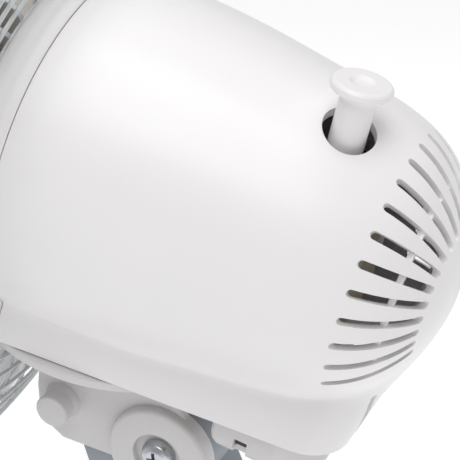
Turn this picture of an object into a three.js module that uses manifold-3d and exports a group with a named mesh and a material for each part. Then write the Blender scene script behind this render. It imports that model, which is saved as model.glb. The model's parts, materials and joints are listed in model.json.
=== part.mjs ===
// Desk fan: oscillating head with a wire guard, on a tilting bracket, a neck and a round base.
// Millimetres, +Z up. The origin is the centre of the base on the table. The fan blows towards -Y.
import * as THREE from 'three';
import { ConvexGeometry } from 'three/addons/geometries/ConvexGeometry.js';
import { mergeVertices } from 'three/addons/utils/BufferGeometryUtils.js';
import Module from 'manifold-3d';

const wasm = await Module();
wasm.setup();

// ---- driving dimensions ----
const GAP = 0.3; // air left between neighbouring pieces
const TILT_AT_REST = THREE.MathUtils.degToRad(12); // the head looks up by this much
const PIVOT = { y: 36.5, z: 200 }; // the tilt screw's axis, which runs along X
const AXIS_FROM_PIVOT = { y: -17, z: 90 }; // the motor axis origin from the tilt pivot, in the head's frame

// Head frame: x sideways, y rearward along the motor shaft, z up, origin on the motor axis.
const TILT = { y: 17, z: -90 }; // the tilt pivot seen from the head frame
const SWIVEL_Y = -18.4; // the upright swivel axis
const SEAM_Y = -36.6; // where the rear housing meets the front cover
const COVER_FRONT_Y = -48.8;
const COVER_RADIUS = 58.3;
const WALL = 2.4;
const BARREL_FACETS = 28;
const SKIRT_Z = -51.5; // the lower edge of the housing
const BARREL_OUTLINE = [[SEAM_Y, 57.8], [2.7, 55.5], [33.8, 51.2], [57.1, 47.1], [71.3, 40.8], [82, 29.2],
  [88, 14.8], [89.8, 0]]; // (y, radius)
const SKIRT = { half: 46, atY: -32, taper: 0.117, flare: 0.45, topZ: -20, rearY: 76, rearLean: 0.26,
  round: 13 };
const SLOT = { pitchAngle: 11.45, topAngle: 3.3, eachWay: 10, width: 2.4, frontY: 66, rearRadius: 22 };
const KNOB = { x: 15.2, y: 48.5, headRadius: 9, shaftRadius: 5.3, stemZ: 17, topZ: 61.5, headThick: 3,
  holeRadius: 8 };
const FLANGE = { radius: 47, topZ: SKIRT_Z - 0.5, thick: 3.5 }; // the head's round bottom plate
const BOSS_RADIUS = 17.4; // the bracket's boss in the middle of that plate
const SLEEVE = { radius: 12.5, bore: 7.2, bottomZ: -92 };
const SWIVEL_PIN_RADIUS = 5.5;
const CHEEK = { inner: 15.2, outer: 19, topZ: -56 };
const LUG = { radius: 18.5, outer: 22, recessRadius: 8.8, recessDepth: 2.6 };
const STUB = { y: -21.5, z: -87.5, radius: 6, endX: 27 };
const SCREW_RADIUS = 3;

// Guard wires: (y, radius) from the hub outwards.
const REAR_WIRE = [[-51.6, 44], [-51, 58], [-47, 84], [-47, 99], [-54, 119], [-67, 146], [-79, 163], [-86,
  171]];
const FRONT_WIRE = [[-153, 40], [-151, 80], [-144, 120], [-131, 150], [-112, 167], [-94, 171]];
const WIRE_COUNT = 24;
const WIRE_RADIUS = 1.2;
const RIM = { wireRadius: 1.8, bandInner: 173.2, bandOuter: 177.5, lip: 4, frontY: -94, rearY: -86 };

// Motor and drive train.
const STATOR = { radius: 42, frontY: -20, rearY: 14, bore: 24 };
const SHAFT_RADIUS = 4;
const WORM = { radius: 4.2, thread: 0.75, core: 3.75, frontY: 42.5, rearY: 54.5, steps: 26 };
const WHEEL = { teeth: 22, pitchRadius: 11 };
const SPUR_MODULE = 1.25; // tooth size of the pinion and the crank gear
const PINION_TEETH = 8;
const CRANK_TEETH = 32;
const CRANK = { x: 0, y: 28.65, throw: 9 };
const LINK_PIVOT = { x: 14, y: SWIVEL_Y };
const BLADE = { tip: 148, root: 30, count: 3, restAngle: 45, thick: 1.8, middleY: -100 };
const BLADE_HUB = { radius: 34, wall: 2, frontY: -116, rearY: -82, sleeveRadius: 10 };
const BUSH = { outer: 8, length: 6.5, frontY: -42, rearY: 27 };
const GEARBOX = { lowX: -7.8, highX: 29.8, lowY: 34.4, highY: 62.8, lowZ: -8, topZ: 7, wall: 1.6, lidZ: 9 };
const SHELF = { z: -45.8, thick: 1.6 }; // carries the crank gear's post
const SPUR = { lowZ: -49.3, highZ: -46.2 }; // the pinion and the crank gear
const LINK = { lowZ: -51.3, highZ: -49.8, halfWidth: 3, eyeRadius: 5 };
const CLUTCH = { radius: 2.4, bore: 2.8, lowZ: -49.5, highZ: 30 };

// Base and neck, in the object's own frame.
const BASE = { radius: 118, height: 44, wall: 3, plateZ: 3 };
const BASE_OUTLINE = [[118, 4], [117, 13], [107, 26], [85, 36], [50, 42], [0, BASE.height]]; // (radius, z)
const FOOT = { place: 66, radius: 9 };
const BASE_SCREW = { y: 100, radius: 2, headRadius: 4, hole: 2.4 };
const INLET = { innerY: 106, shoulderY: 118.6, outerY: 121, z: 14, bore: 3.6, radius: 6.6, lipRadius: 9 };
const WEIGHT = { inner: 22, outer: 80, thick: 6.7 };
const NECK_HOLE = { halfWidth: 37, halfDepth: 41 };
const WIREWAY_RADIUS = 11;
const TONGUE_RADIUS = 17.5; // the rounded top of the neck, between the bracket's cheeks
const PANEL = { y: -66, width: 112, depth: 34, bottomZ: 20, topZ: 47 };
const BUTTON = { play: 0.4, slope: 1.5, width: 18, depth: 15, pitch: 25, topZ: 53, bottomZ: 27 };
const NECK_LEVELS = [[30, 36, 40], [44, 33, 38], [70, 27, 32], [120, 25, 29.5], [158, 25, 29], [173, 23, 28],
  [178, 14.5, 27]]; // (z, half width, half depth)

// ---- materials ----
const plastic = (color, roughness = 0.45) => new THREE.MeshStandardMaterial({ color, roughness,
  metalness: 0 });
const metal = (color, roughness = 0.35) => new THREE.MeshStandardMaterial({ color, roughness,
  metalness: 1 });
const WHITE = plastic(0xf2f0ef, 0.38);
const OFF_WHITE = plastic(0xe6e4e1, 0.42);
const GREY_BLUE = plastic(0x9aa2aa, 0.5);
const CREAM = plastic(0xe3dcc8, 0.55);
const BLADE_GREY = plastic(0xd8d4cf, 0.3);
const BUTTON_WHITE = plastic(0xededeb, 0.35);
const RUBBER = plastic(0x3a3a3c, 0.85);
const BLACK = plastic(0x202124, 0.6);
const WIRE_WHITE = plastic(0xe9ecee, 0.3);
const ZINC = metal(0xc9ccd0, 0.3);
const STEEL = metal(0xaeb2b6, 0.35);
const CAST = metal(0xb7b8ba, 0.5);
const LAMINATION = metal(0x7c7f84, 0.6);
const COPPER = metal(0xb87346, 0.4);
const BRONZE = metal(0xb38a4c, 0.45);

// ---- geometry helpers ----

// A three.js geometry as a closed manifold, with its vertices shared and its faces outwards.
function solid(geometry) {
  const bare = geometry.clone();
  for (const name of Object.keys(bare.attributes)) {
    if (name !== 'position') {
      bare.deleteAttribute(name);
    }
  }
  const merged = mergeVertices(bare, 1e-4);
  const position = merged.getAttribute('position');
  const index = merged.getIndex().array;
  const faces = [];
  const [a, b, c] = [new THREE.Vector3(), new THREE.Vector3(), new THREE.Vector3()];
  let volume = 0;
  for (let i = 0; i < index.length; i += 3) {
    const [p, q, r] = index.slice(i, i + 3);
    if (p !== q && q !== r && r !== p) {
      faces.push([p, q, r]);
      a.fromBufferAttribute(position, p);
      b.fromBufferAttribute(position, q);
      c.fromBufferAttribute(position, r);
      volume += a.dot(b.cross(c));
    }
  }
  const triVerts = new Uint32Array(faces.flatMap((f) => (volume < 0 ? [f[0], f[2], f[1]] : f)));
  const vertProperties = new Float32Array(position.array);
  return new wasm.Manifold(new wasm.Mesh({ numProp: 3, vertProperties, triVerts }));
}

// A manifold back as a three.js geometry.
function geometryOf(manifold) {
  const mesh = manifold.getMesh();
  const geometry = new THREE.BufferGeometry();
  geometry.setAttribute('position', new THREE.BufferAttribute(mesh.vertProperties, 3));
  geometry.setIndex(new THREE.BufferAttribute(mesh.triVerts, 1));
  return geometry;
}

const join = (...pieces) => pieces.reduce((sum, piece) => sum.add(piece));
const cut = (body, ...tools) => tools.reduce((rest, tool) => rest.subtract(tool), body);

function box(x, y, z) {
  const size = [x, y, z].map(([low, high]) => high - low);
  const middle = [x, y, z].map(([low, high]) => (low + high) / 2);
  return solid(new THREE.BoxGeometry(...size).translate(...middle));
}

// A profile of (radius, height) turned about Z, Y or X. It starts and ends on the axis, or closes on itself.
function turned(profile, axis = 'z', segments = 28) {
  const geometry = new THREE.LatheGeometry(profile.map(([r, h]) => new THREE.Vector2(r, h)), segments);
  if (axis === 'z') {
    geometry.rotateX(Math.PI / 2);
  }
  if (axis === 'x') {
    geometry.rotateZ(-Math.PI / 2);
  }
  return solid(geometry);
}

const rod = (radius, from, to, axis = 'z', segments = 16) =>
  turned([[0, from], [radius, from], [radius, to], [0, to]], axis, segments);
const tube = (inner, outer, from, to, axis = 'z', segments = 24) =>
  turned([[inner, from], [outer, from], [outer, to], [inner, to], [inner, from]], axis, segments);

// A flat outline with holes, as a plate between two heights on an axis.
function plate(outline, from, to, axis = 'z', holes = []) {
  const shape = outline;
  shape.holes.push(...holes);
  const geometry = new THREE.ExtrudeGeometry(shape, { depth: to - from, bevelEnabled: false,
    curveSegments: 6 });
  geometry.translate(0, 0, from);
  if (axis === 'x') {
    geometry.applyMatrix4(new THREE.Matrix4().set(0, 0, 1, 0, 1, 0, 0, 0, 0, 1, 0, 0, 0, 0, 0, 1));
  }
  return solid(geometry);
}

function roundHole(x, y, radius) {
  return new THREE.Path().absarc(x, y, radius, 0, 2 * Math.PI, true);
}

// A smooth run of points through a few given ones, shifted inwards by a wall where one is given.
function smooth(points, steps, inward = 0) {
  const curve = new THREE.SplineCurve(points.map(([u, v]) => new THREE.Vector2(u, v)));
  return Array.from({ length: steps + 1 }, (_, i) => {
    const [p, t] = [curve.getPoint(i / steps), curve.getTangent(i / steps)];
    return [p.x + t.y * inward, p.y - t.x * inward];
  });
}

// A spur gear about Z with straight-sided teeth and a bore.
function gear(teeth, tipRadius, rootRadius, tipWidth, rootWidth, bore, from, to, phase) {
  const shape = new THREE.Shape();
  const corner = (radius, width, side, angle) => [radius, angle + (side * width) / (2 * radius)];
  for (let i = 0; i < teeth; i += 1) {
    const angle = phase + (i * 2 * Math.PI) / teeth;
    const corners = [corner(rootRadius, rootWidth, -1, angle), corner(tipRadius, tipWidth, -1, angle),
      corner(tipRadius, tipWidth, 1, angle), corner(rootRadius, rootWidth, 1, angle)];
    for (const [radius, at] of corners) {
      const [x, y] = [radius * Math.cos(at), radius * Math.sin(at)];
      if (shape.curves.length === 0 && shape.currentPoint.lengthSq() === 0) {
        shape.moveTo(x, y);
      } else {
        shape.lineTo(x, y);
      }
    }
  }
  shape.closePath();
  return plate(shape, from, to, 'z', [roundHole(0, 0, bore)]);
}

// A round or flat-sided bar swept along a curve.
function swept(curve, radius, steps, sides) {
  const section = new THREE.Shape(Array.from({ length: sides }, (_, i) => {
    const angle = (2 * Math.PI * (i + 0.5)) / sides;
    return new THREE.Vector2(radius * Math.cos(angle), radius * Math.sin(angle));
  }));
  return solid(new THREE.ExtrudeGeometry(section, { steps, extrudePath: curve, bevelEnabled: false }));
}

const object = new THREE.Group();
const tilting = new THREE.Group(); // everything above the tilt screw
tilting.position.set(0, PIVOT.y, PIVOT.z);
tilting.rotation.x = -TILT_AT_REST;
const head = new THREE.Group(); // the head frame
head.position.set(0, AXIS_FROM_PIVOT.y, AXIS_FROM_PIVOT.z);
tilting.add(head);
object.add(tilting);

function place(group, name, body, material, [x, y, z] = [0, 0, 0]) {
  const mesh = new THREE.Mesh(geometryOf(body), material);
  mesh.name = name;
  mesh.position.set(x, y, z);
  group.add(mesh);
}

// ---- base, in the object's frame ----

function neckOutline(halfWidth, halfDepth) {
  const shape = new THREE.Shape();
  shape.absellipse(0, PIVOT.y, halfWidth, halfDepth, 0, 2 * Math.PI);
  return shape;
}

function baseShell() {
  const outer = turned([[0, 4], ...smooth(BASE_OUTLINE, 6)], 'z', 28);
  const under = BASE_OUTLINE.map(([r, z]) => [Math.max(r - BASE.wall, 0), z - BASE.wall]);
  const inner = turned([[0, BASE.plateZ], ...smooth(under, 6)], 'z', 28);
  const panelHole = box([-PANEL.width / 2 - GAP, PANEL.width / 2 + GAP],
    [PANEL.y - PANEL.depth / 2 - GAP, PANEL.y + PANEL.depth / 2 + GAP], [10, 60]);
  const neckHole = plate(neckOutline(NECK_HOLE.halfWidth, NECK_HOLE.halfDepth), 20, 60);
  const inletHole = rod(INLET.radius + 0.4, 100, 130, 'y').translate([0, 0, INLET.z]);
  return cut(outer, inner, panelHole, neckHole, inletHole);
}

function neckColumn() {
  const [bottom] = NECK_LEVELS[0];
  const geometry = new THREE.CylinderGeometry(1, 1, 1, 20, NECK_LEVELS.length - 1);
  geometry.rotateX(Math.PI / 2);
  const position = geometry.getAttribute('position');
  for (let i = 0; i < position.count; i += 1) {
    const level = Math.round((position.getZ(i) + 0.5) * (NECK_LEVELS.length - 1));
    const [z, halfWidth, halfDepth] = NECK_LEVELS[level];
    position.setXYZ(i, position.getX(i) * halfWidth, PIVOT.y + position.getY(i) * halfDepth, z);
  }
  const tongue = new THREE.Shape();
  tongue.moveTo(-27, -40);
  tongue.lineTo(-30.5, -18);
  tongue.quadraticCurveTo(-33.6, -10, -32.5, -7.5);
  tongue.quadraticCurveTo(-31, -5.5, -27, -5.5);
  tongue.lineTo(-17, -5.5);
  tongue.absarc(0, 0, TONGUE_RADIUS, Math.PI * 1.1, -Math.PI * 0.25, true);
  tongue.lineTo(24, -40);
  const between = plate(tongue, -CHEEK.inner + 0.6, CHEEK.inner - 0.6, 'x').translate([0, PIVOT.y, PIVOT.z]);
  const screwHole = rod(SCREW_RADIUS + GAP, -30, 30, 'x').translate([0, PIVOT.y, PIVOT.z]);
  const wireway = rod(WIREWAY_RADIUS, bottom - 1, 150).translate([0, PIVOT.y, 0]);
  return cut(join(solid(geometry), between), screwHole, wireway);
}

function controlPanel() {
  const [halfWidth, halfDepth] = [PANEL.width / 2, PANEL.depth / 2];
  const body = box([-halfWidth, halfWidth], [PANEL.y - halfDepth, PANEL.y + halfDepth], [PANEL.bottomZ,
    PANEL.topZ]);
  const [wellWidth, wellDepth] = [BUTTON.width / 2 + BUTTON.play, BUTTON.depth / 2 + BUTTON.play];
  const wells = buttonPlaces().map((x) => box([x - wellWidth, x + wellWidth],
    [PANEL.y - wellDepth, PANEL.y + wellDepth], [PANEL.bottomZ - 1, PANEL.topZ + 1]));
  return cut(body, ...wells);
}

function buttonPlaces() {
  return [-1.5, -0.5, 0.5, 1.5].map((step) => step * BUTTON.pitch);
}

// A push button with a cap edge sloped towards the front.
function button(x) {
  const [w, d] = [BUTTON.width / 2, BUTTON.depth / 2];
  const corners = [];
  for (const sx of [-1, 1]) {
    corners.push([sx * w, -d, BUTTON.bottomZ], [sx * w, d, BUTTON.bottomZ]);
    corners.push([sx * w, d, BUTTON.topZ - BUTTON.slope], [sx * w, -d, BUTTON.topZ - 2 * BUTTON.slope]);
    corners.push([sx * (w - BUTTON.slope), d - BUTTON.slope, BUTTON.topZ]);
    corners.push([sx * (w - BUTTON.slope), BUTTON.slope - d, BUTTON.topZ - BUTTON.slope]);
  }
  const hull = new ConvexGeometry(corners.map((c) => new THREE.Vector3(...c)));
  return solid(hull).translate([x, PANEL.y, 0]);
}

place(object, 'base_shell', baseShell(), WHITE);
const basePlate = cut(rod(BASE.radius - BASE.wall - 1, BASE.plateZ, BASE.plateZ + 2, 'z', 28),
  ...[-1, 1].map((side) => rod(BASE_SCREW.hole, 0, 20, 'z', 10).translate([0, side * BASE_SCREW.y, 0])));
place(object, 'base_plate', basePlate, OFF_WHITE);
const weightZ = BASE.plateZ + 2 + GAP;
place(object, 'counterweight', tube(WEIGHT.inner, WEIGHT.outer, weightZ, weightZ + WEIGHT.thick, 'z', 28),
  STEEL);
const footTop = BASE.plateZ - GAP;
const foot = turned([[0, 0], [FOOT.radius - 1, 0], [FOOT.radius, 1], [FOOT.radius, footTop], [0,
  footTop]], 'z', 16);
[[-1, -1], [1, -1], [1, 1], [-1, 1]].forEach(([sx, sy], i) => {
  place(object, `foot_${i + 1}`, foot.translate([sx * FOOT.place, sy * FOOT.place, 0]), RUBBER);
});
[['front', -1], ['rear', 1]].forEach(([side, sign]) => {
  const screwHead = rod(BASE_SCREW.headRadius, BASE.plateZ - 2.2, footTop, 'z', 12);
  const screw = join(screwHead, rod(BASE_SCREW.radius, BASE.plateZ - 1, 11, 'z', 8));
  place(object, `base_screw_${side}`, screw.translate([0, sign * BASE_SCREW.y, 0]), ZINC);
});
place(object, 'neck_column', neckColumn(), GREY_BLUE);
place(object, 'control_panel', controlPanel(), GREY_BLUE);
place(object, 'switch_block', box([-48, 48], [PANEL.y - 11, PANEL.y + 11], [13, 19.5]), BLACK);
['off', 'low', 'medium', 'high'].forEach((speed, i) => {
  place(object, `button_${speed}`, button(buttonPlaces()[i]), BUTTON_WHITE);
});
const inlet = turned([[INLET.bore, INLET.innerY], [INLET.radius, INLET.innerY], [INLET.radius,
  INLET.shoulderY],
  [INLET.lipRadius, INLET.shoulderY], [INLET.lipRadius - 0.6, INLET.outerY], [INLET.bore, INLET.outerY],
  [INLET.bore, INLET.innerY]], 'y', 16);
place(object, 'cord_inlet', inlet.translate([0, 0, INLET.z]), GREY_BLUE);

// ---- tilting bracket, in the head frame ----

function cheekOutline() {
  const shape = new THREE.Shape();
  shape.moveTo(-34, CHEEK.topZ);
  shape.lineTo(-32, -86);
  shape.quadraticCurveTo(-30, -101, -19, -103.4);
  shape.lineTo(-4.7, -99.9);
  shape.absarc(TILT.y, TILT.z, LUG.radius, Math.PI * 1.18, Math.PI * 2.4, false);
  shape.quadraticCurveTo(16, -64, 10, CHEEK.topZ);
  return shape;
}

function tiltBracket() {
  const boss = rod(BOSS_RADIUS, CHEEK.topZ - 1.5, FLANGE.topZ, 'z', 28).translate([0, SWIVEL_Y, 0]);
  const sleeve = rod(SLEEVE.radius, SLEEVE.bottomZ, FLANGE.topZ - 1, 'z', 18).translate([0, SWIVEL_Y, 0]);
  const tieBar = box([-CHEEK.inner - 1, CHEEK.inner + 1], [SWIVEL_Y - 4, SWIVEL_Y + 4],
    [SLEEVE.bottomZ + 3, CHEEK.topZ]);
  const sides = [];
  const tools = [rod(SLEEVE.bore + GAP, SLEEVE.bottomZ - 5, FLANGE.topZ + 5).translate([0, SWIVEL_Y, 0])];
  for (const side of [-1, 1]) {
    const [near, far] = [side * CHEEK.inner, side * CHEEK.outer].sort((a, b) => a - b);
    sides.push(plate(cheekOutline(), near, far, 'x'));
    const lug = turned([[0, CHEEK.inner], [LUG.radius, CHEEK.inner], [LUG.radius, LUG.outer - 1.2],
      [LUG.radius - 1.2, LUG.outer], [0, LUG.outer]], 'x', 22);
    sides.push((side > 0 ? lug : lug.mirror([1, 0, 0])).translate([0, TILT.y, TILT.z]));
    const recess = rod(LUG.recessRadius, LUG.outer - LUG.recessDepth, LUG.outer + 1, 'x', 16);
    tools.push((side > 0 ? recess : recess.mirror([1, 0, 0])).translate([0, TILT.y, TILT.z]));
  }
  const stub = turned([[0, CHEEK.outer - 1], [STUB.radius - 0.4, CHEEK.outer - 1], [STUB.radius,
    STUB.endX - 0.6],
    [STUB.radius - 0.6, STUB.endX], [0, STUB.endX]], 'x', 14).translate([0, STUB.y, STUB.z]);
  const linkPin = rod(2, FLANGE.topZ - 1, FLANGE.topZ + 2.2, 'z', 10).translate([LINK_PIVOT.x,
    LINK_PIVOT.y, 0]);
  tools.push(rod(SCREW_RADIUS + GAP, -30, 30, 'x').translate([0, TILT.y, TILT.z]));
  return cut(join(boss, sleeve, tieBar, ...sides, stub, linkPin), ...tools);
}

// The cross-head tilt screw: pan head in the lug's recess on the +X side.
function tiltScrew() {
  const seat = LUG.outer - LUG.recessDepth + GAP;
  const profile = [[0, -26], [SCREW_RADIUS, -26], [SCREW_RADIUS, seat], [6, seat], [5.9, seat + 1.4],
    [5, seat + 2.9], [3, seat + 3.9], [0, seat + 4.2]];
  const slot = box([seat + 2.2, seat + 6], [-3.4, 3.4], [-0.7, 0.7]).rotate([20, 0, 0]);
  const slots = [slot, slot.rotate([90, 0, 0])];
  return cut(turned(profile, 'x', 18), ...slots);
}

function tiltNut() {
  const hex = new THREE.Shape(Array.from({ length: 6 }, (_, i) => {
    const angle = (i * Math.PI) / 3;
    return new THREE.Vector2(5.8 * Math.cos(angle), 5.8 * Math.sin(angle));
  }));
  return plate(hex, -25, -LUG.outer + LUG.recessDepth - GAP, 'x', [roundHole(0, 0, SCREW_RADIUS + GAP)]);
}

place(head, 'tilt_bracket', tiltBracket(), OFF_WHITE);
place(head, 'tilt_screw', tiltScrew(), ZINC, [0, TILT.y, TILT.z]);
place(head, 'tilt_nut', tiltNut(), ZINC, [0, TILT.y, TILT.z]);
const sleeveBush = tube(SWIVEL_PIN_RADIUS + GAP, SLEEVE.bore, SLEEVE.bottomZ + 1, FLANGE.topZ - 1, 'z', 18);
place(head, 'swivel_bush', sleeveBush, CREAM, [0, SWIVEL_Y, 0]);

// ---- housing and covers, in the head frame ----

// The head's round bottom plate, cut straight at the front, which turns round the bracket's boss.
function bottomPlate() {
  const bottom = FLANGE.topZ - FLANGE.thick;
  const hole = BOSS_RADIUS + 0.5;
  const disc = turned([[hole, bottom], [FLANGE.radius - 0.8, bottom], [FLANGE.radius, bottom + 0.8],
    [FLANGE.radius, FLANGE.topZ], [hole, FLANGE.topZ], [hole, bottom]], 'z', 32).translate([0, SWIVEL_Y, 0]);
  return cut(disc, box([-60, 60], [-90, COVER_FRONT_Y + 0.5], [-70, -40]));
}

const skirtHalf = (y) => SKIRT.half - SKIRT.taper * (y - SKIRT.atY);

// The skirt as a hull: wide at its lower edge, narrower where it runs up into the barrel.
function skirtHull(frontY, rearY, inset, bottomZ) {
  const points = [];
  for (const z of [bottomZ, SKIRT.topZ]) {
    const rise = z - SKIRT_Z;
    const draw = inset + rise * SKIRT.flare;
    const rear = rearY === undefined ? SKIRT.rearY + rise * SKIRT.rearLean - inset : rearY;
    for (const side of [-1, 1]) {
      points.push(new THREE.Vector3(side * (skirtHalf(frontY) - draw), frontY, z));
      if (rearY === undefined) {
        for (let step = 0; step <= 4; step += 1) {
          const angle = (step * Math.PI) / 8;
          const x = skirtHalf(rear) - draw - SKIRT.round * (1 - Math.cos(angle));
          points.push(new THREE.Vector3(side * x, rear - SKIRT.round * (1 - Math.sin(angle)), z));
        }
      } else {
        points.push(new THREE.Vector3(side * (skirtHalf(rear) - draw), rear, z));
      }
    }
  }
  return solid(new ConvexGeometry(points));
}

function barrel(inward, frontY) {
  const outline = smooth(BARREL_OUTLINE, 8, inward).map(([y, r]) => [Math.max(r, 0), y]);
  outline[outline.length - 1][0] = 0;
  return turned([[0, frontY], [outline[0][0], frontY], ...outline], 'y', BARREL_FACETS);
}

function rearHousing() {
  const outer = join(barrel(0, SEAM_Y), skirtHull(SEAM_Y, undefined, 0, SKIRT_Z));
  const inner = join(barrel(WALL, SEAM_Y - 1), skirtHull(SEAM_Y - 1, undefined, WALL, SKIRT_Z - 2));
  const below = box([-90, 90], [-60, 100], [-90, SKIRT_Z]);
  const tools = [inner, below, rod(KNOB.holeRadius, 20, 70, 'z', 18).translate([KNOB.x, KNOB.y, 0])];
  for (let i = -SLOT.eachWay; i <= SLOT.eachWay; i += 1) {
    const angle = SLOT.topAngle + i * SLOT.pitchAngle;
    const slot = box([-SLOT.width / 2, SLOT.width / 2], [SLOT.frontY, 95], [SLOT.rearRadius, 60]);
    tools.push(slot.rotate([0, angle, 0]));
  }
  for (let i = -3; i <= 3; i += 1) {
    tools.push(box([i * 6 - 1, i * 6 + 1], [70, 90], [-48, -32]));
  }
  return cut(outer, ...tools);
}

function frontCover() {
  const rear = SEAM_Y - GAP;
  const dish = turned([[0, COVER_FRONT_Y], [COVER_RADIUS - 2, COVER_FRONT_Y], [COVER_RADIUS,
    COVER_FRONT_Y + 2],
    [COVER_RADIUS, rear], [0, rear]], 'y', BARREL_FACETS);
  const shell = join(dish, skirtHull(COVER_FRONT_Y + 0.5, rear, 0, SKIRT_Z));
  const hollow = join(rod(COVER_RADIUS - WALL, COVER_FRONT_Y + WALL, 0, 'y', BARREL_FACETS),
    skirtHull(COVER_FRONT_Y + WALL, 0, WALL, SKIRT_Z - 2));
  const neck = tube(20, 25, COVER_FRONT_Y - 9, COVER_FRONT_Y + 1, 'y', 24);
  const below = box([-90, 90], [-60, 10], [-90, SKIRT_Z]);
  return cut(join(cut(shell, hollow), neck), rod(20, -70, 0, 'y', 24), below);
}

// The box under the housing that covers the oscillation gears.
function gearCover() {
  const hull = (inset, top) => {
    const points = [];
    for (const [z, draw] of [[top, 0], [-64, 0], [-67, 3]]) {
      const depth = z === top ? 0 : inset;
      for (const side of [-1, 1]) {
        points.push([side * (31 - inset - draw), 35 + inset + draw, z + depth]);
        points.push([side * (31 - inset - draw), 58, z + depth]);
        points.push([side * (20 - inset), 71 - inset - draw, z + depth]);
      }
    }
    return solid(new ConvexGeometry(points.map((p) => new THREE.Vector3(...p))));
  };
  const notch = box([27, 33], [43.5, 48], [-70, -60]);
  return cut(hull(0, SKIRT_Z - GAP), hull(2, SKIRT_Z + 1), notch);
}

place(head, 'rear_housing', rearHousing(), WHITE);
place(head, 'front_cover', frontCover(), WHITE);
place(head, 'bottom_plate', bottomPlate(), OFF_WHITE);
place(head, 'gear_cover', gearCover(), OFF_WHITE);
for (const [side, sign] of [['left', -1], ['right', 1]]) {
  const screw = rod(3.4, COVER_FRONT_Y - 1.4, COVER_FRONT_Y - GAP, 'y', 12);
  place(head, `cover_screw_${side}`, screw, ZINC, [sign * 53, 0, 0]);
}

// ---- motor, in the head frame ----

function yoke() {
  const block = box([-30, 30], [-34, -2], [-49.2, -28]);
  const saddle = rod(STATOR.radius + GAP, -60, 20, 'y', 28);
  const pin = rod(SWIVEL_PIN_RADIUS, -91, -44).translate([0, SWIVEL_Y, 0]);
  return join(cut(block, saddle), pin);
}

function endBracket(rimY, capY) {
  const dir = Math.sign(capY - rimY);
  const profile = [[BUSH.outer, capY], [13, capY], [14, capY - 5 * dir], [36, capY - 8 * dir], [41,
    capY - 14 * dir],
    [41, rimY], [38.6, rimY], [38.6, capY - 15 * dir], [34.5, capY - 10.5 * dir], [12, capY - 7.5 * dir],
    [BUSH.outer, capY - BUSH.length * dir], [BUSH.outer, capY]];
  return turned(profile, 'y', 18);
}

function winding(from, to) {
  const [low, high] = [Math.min(from, to), Math.max(from, to)];
  const middle = (low + high) / 2;
  return turned([[26, low], [35, low], [37, middle], [35, high], [26, high], [24.5, middle], [26, low]],
    'y', 18);
}

place(head, 'swivel_yoke', yoke(), CAST);
place(head, 'stator_core', tube(STATOR.bore, STATOR.radius, STATOR.frontY, STATOR.rearY, 'y', 28),
  LAMINATION);
place(head, 'winding_front', winding(STATOR.frontY - 6.5, STATOR.frontY - GAP), COPPER);
place(head, 'winding_rear', winding(STATOR.rearY + GAP, STATOR.rearY + 6.5), COPPER);
place(head, 'end_bracket_front', endBracket(STATOR.frontY - GAP, BUSH.frontY), CAST);
place(head, 'end_bracket_rear', endBracket(STATOR.rearY + GAP, BUSH.rearY + BUSH.length), CAST);
for (const [end, y] of [['front', BUSH.frontY], ['rear', BUSH.rearY]]) {
  place(head, `bush_${end}`, tube(SHAFT_RADIUS + GAP, BUSH.outer - GAP, y, y + BUSH.length, 'y', 16),
    BRONZE);
}
place(head, 'capacitor', box([-37, -14], [37, 55], [-15, 15]), BLACK);

// Gearbox: an open box round the worm wheel, with a leg and a shelf that carries the crank gear's post.
function gearboxHousing() {
  const { lowX, highX, lowY, highY, lowZ, topZ, wall } = GEARBOX;
  const shell = box([lowX, highX], [lowY, highY], [lowZ, topZ]);
  const room = box([lowX + wall, highX - wall], [lowY + wall, highY - wall], [lowZ + wall, topZ + 1]);
  const leg = box([-6, 6], [54, 62], [SHELF.z + 1, lowZ + 1]);
  const shelf = box([-6, 24], [20, 62], [SHELF.z, SHELF.z + SHELF.thick]);
  const post = rod(2, SPUR.lowZ, SHELF.z + 1, 'z', 10).translate([CRANK.x, CRANK.y, 0]);
  const wormHole = rod(SHAFT_RADIUS + 0.6, 30, 38, 'y');
  const shaftHole = rod(CLUTCH.bore, -60, 20, 'z', 12).translate([KNOB.x, KNOB.y, 0]);
  return cut(join(cut(shell, room), leg, shelf, post), wormHole, shaftHole);
}

place(head, 'gearbox_housing', gearboxHousing(), CREAM);
const lid = cut(box([GEARBOX.lowX, GEARBOX.highX], [GEARBOX.lowY, GEARBOX.highY], [GEARBOX.topZ + GAP,
  GEARBOX.lidZ]),
  rod(CLUTCH.bore, 0, 20, 'z', 12).translate([KNOB.x, KNOB.y, 0]));
place(head, 'gearbox_lid', lid, CREAM);

// ---- guards, in the head frame ----

// Radial wires swept from the hub plate to the rim wire.
function guard(outline, hub) {
  const points = outline.map(([y, r]) => new THREE.Vector3(0, y, r));
  const wire = swept(new THREE.CatmullRomCurve3(points), WIRE_RADIUS, 5, 3);
  const [rimY, rimRadius] = outline[outline.length - 1];
  const size = RIM.wireRadius;
  const hoop = turned([[rimRadius - size, rimY], [rimRadius, rimY - size], [rimRadius + size, rimY],
    [rimRadius, rimY + size], [rimRadius - size, rimY]], 'y', 36);
  const wires = Array.from({ length: WIRE_COUNT }, (_, i) => wire.rotate([0,
    ((i + 0.5) * 360) / WIRE_COUNT, 0]));
  return join(hub, hoop, ...wires);
}

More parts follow.
